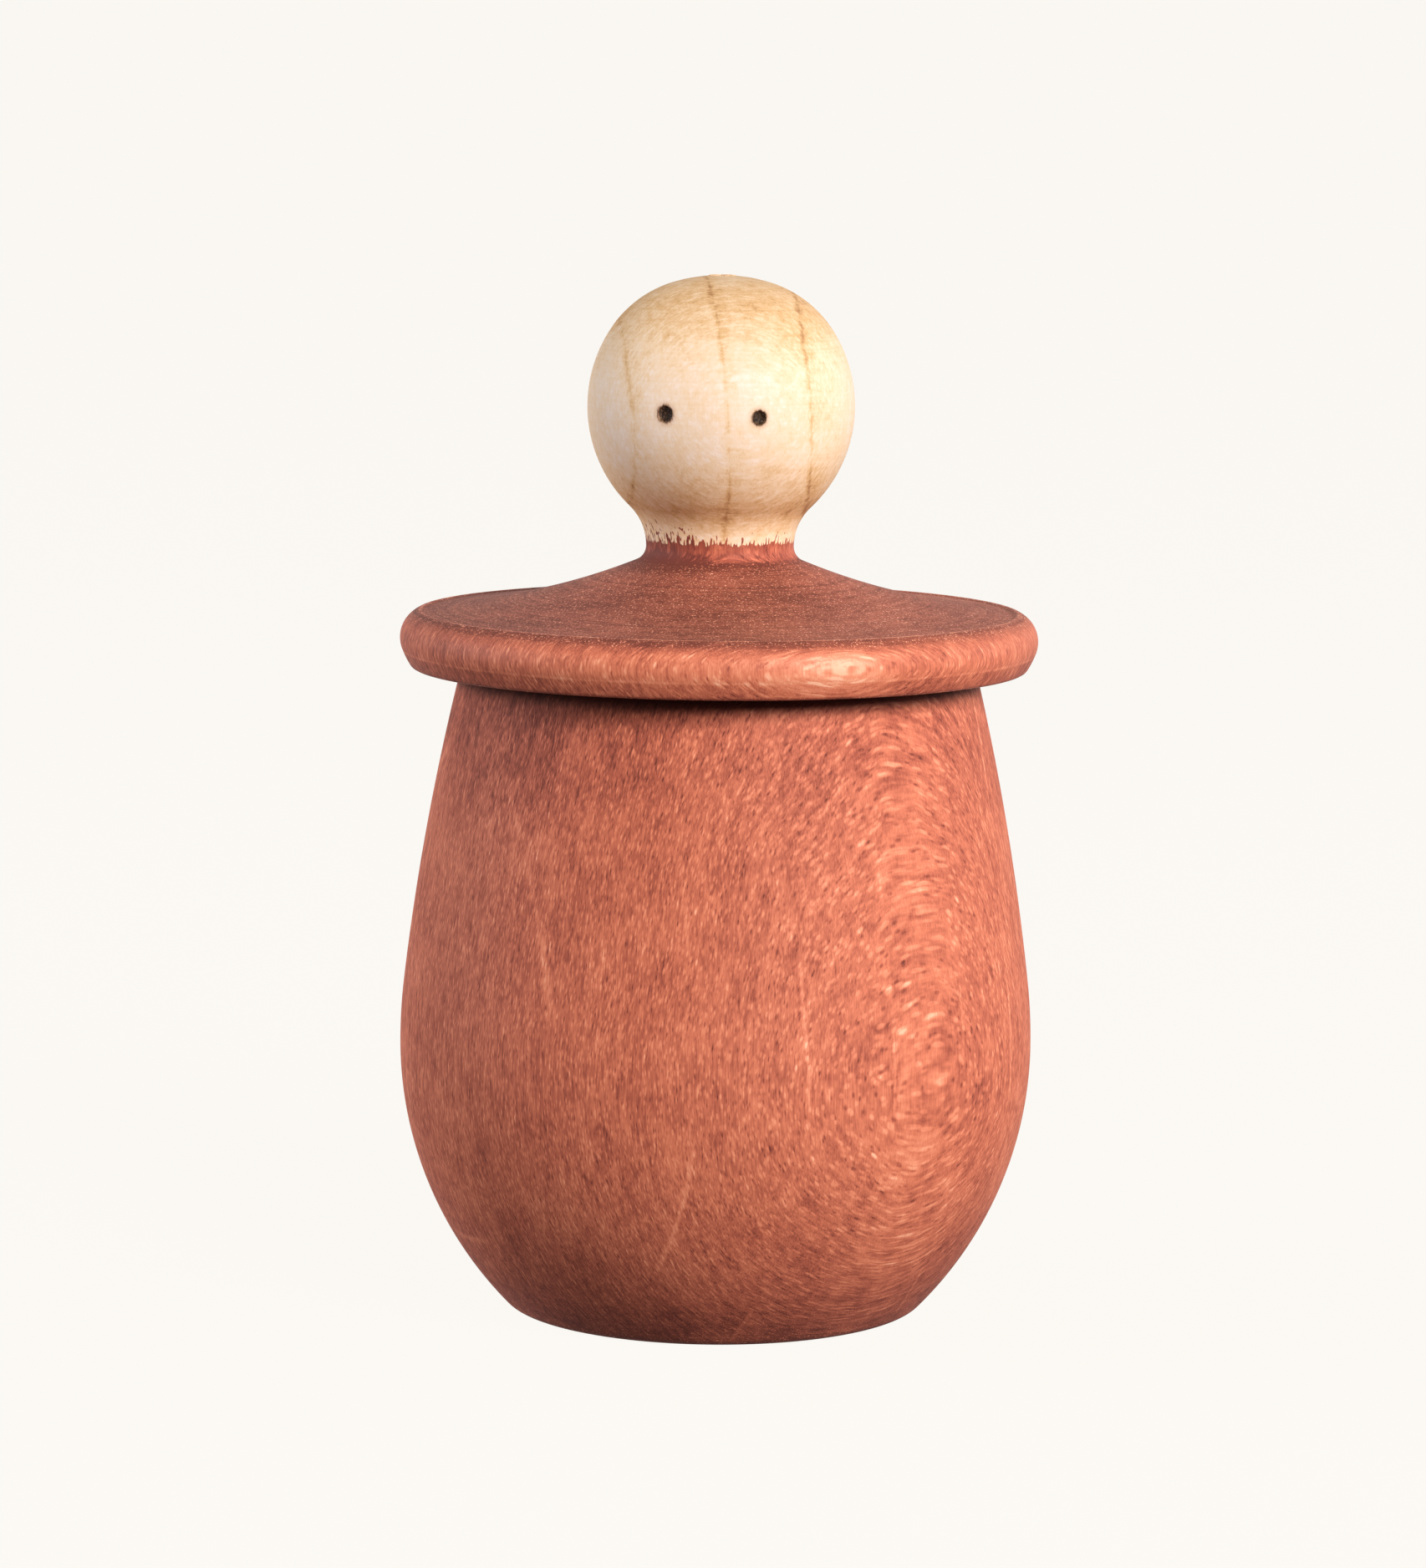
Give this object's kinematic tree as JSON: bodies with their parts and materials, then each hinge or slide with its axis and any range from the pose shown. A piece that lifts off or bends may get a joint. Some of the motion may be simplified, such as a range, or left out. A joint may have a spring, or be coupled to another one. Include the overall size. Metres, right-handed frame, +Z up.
{
  "type": "kokeshi-style lidded pot",
  "caption": "Turned wooden pot with a lift-off lid; the lid's knob is a peg doll with a ball head, short neck and burnt-dot eyes.",
  "frame": {"origin": "middle of the pot's flat foot", "axes": "+Z up along the turning axis, -Y the way the face looks, +X to the face's own left"},
  "size_m": [0.059, 0.059, 0.0961],
  "materials": {
    "pot_wood": "thin terracotta water stain, satin, grain showing through",
    "lid_wood": "the same stain up to the root of the neck; bare pale maple-like wood above it"
  },
  "bodies": {
    "pot": {"pot": "pot_wood"},
    "lid": {"lid": "lid_wood"}
  },
  "joints": [
    {"name": "lid_lift", "type": "slide", "parent": "pot", "child": "lid", "axis": [0, 0, 1], "range_m": [0, 0.05]}
  ]
}
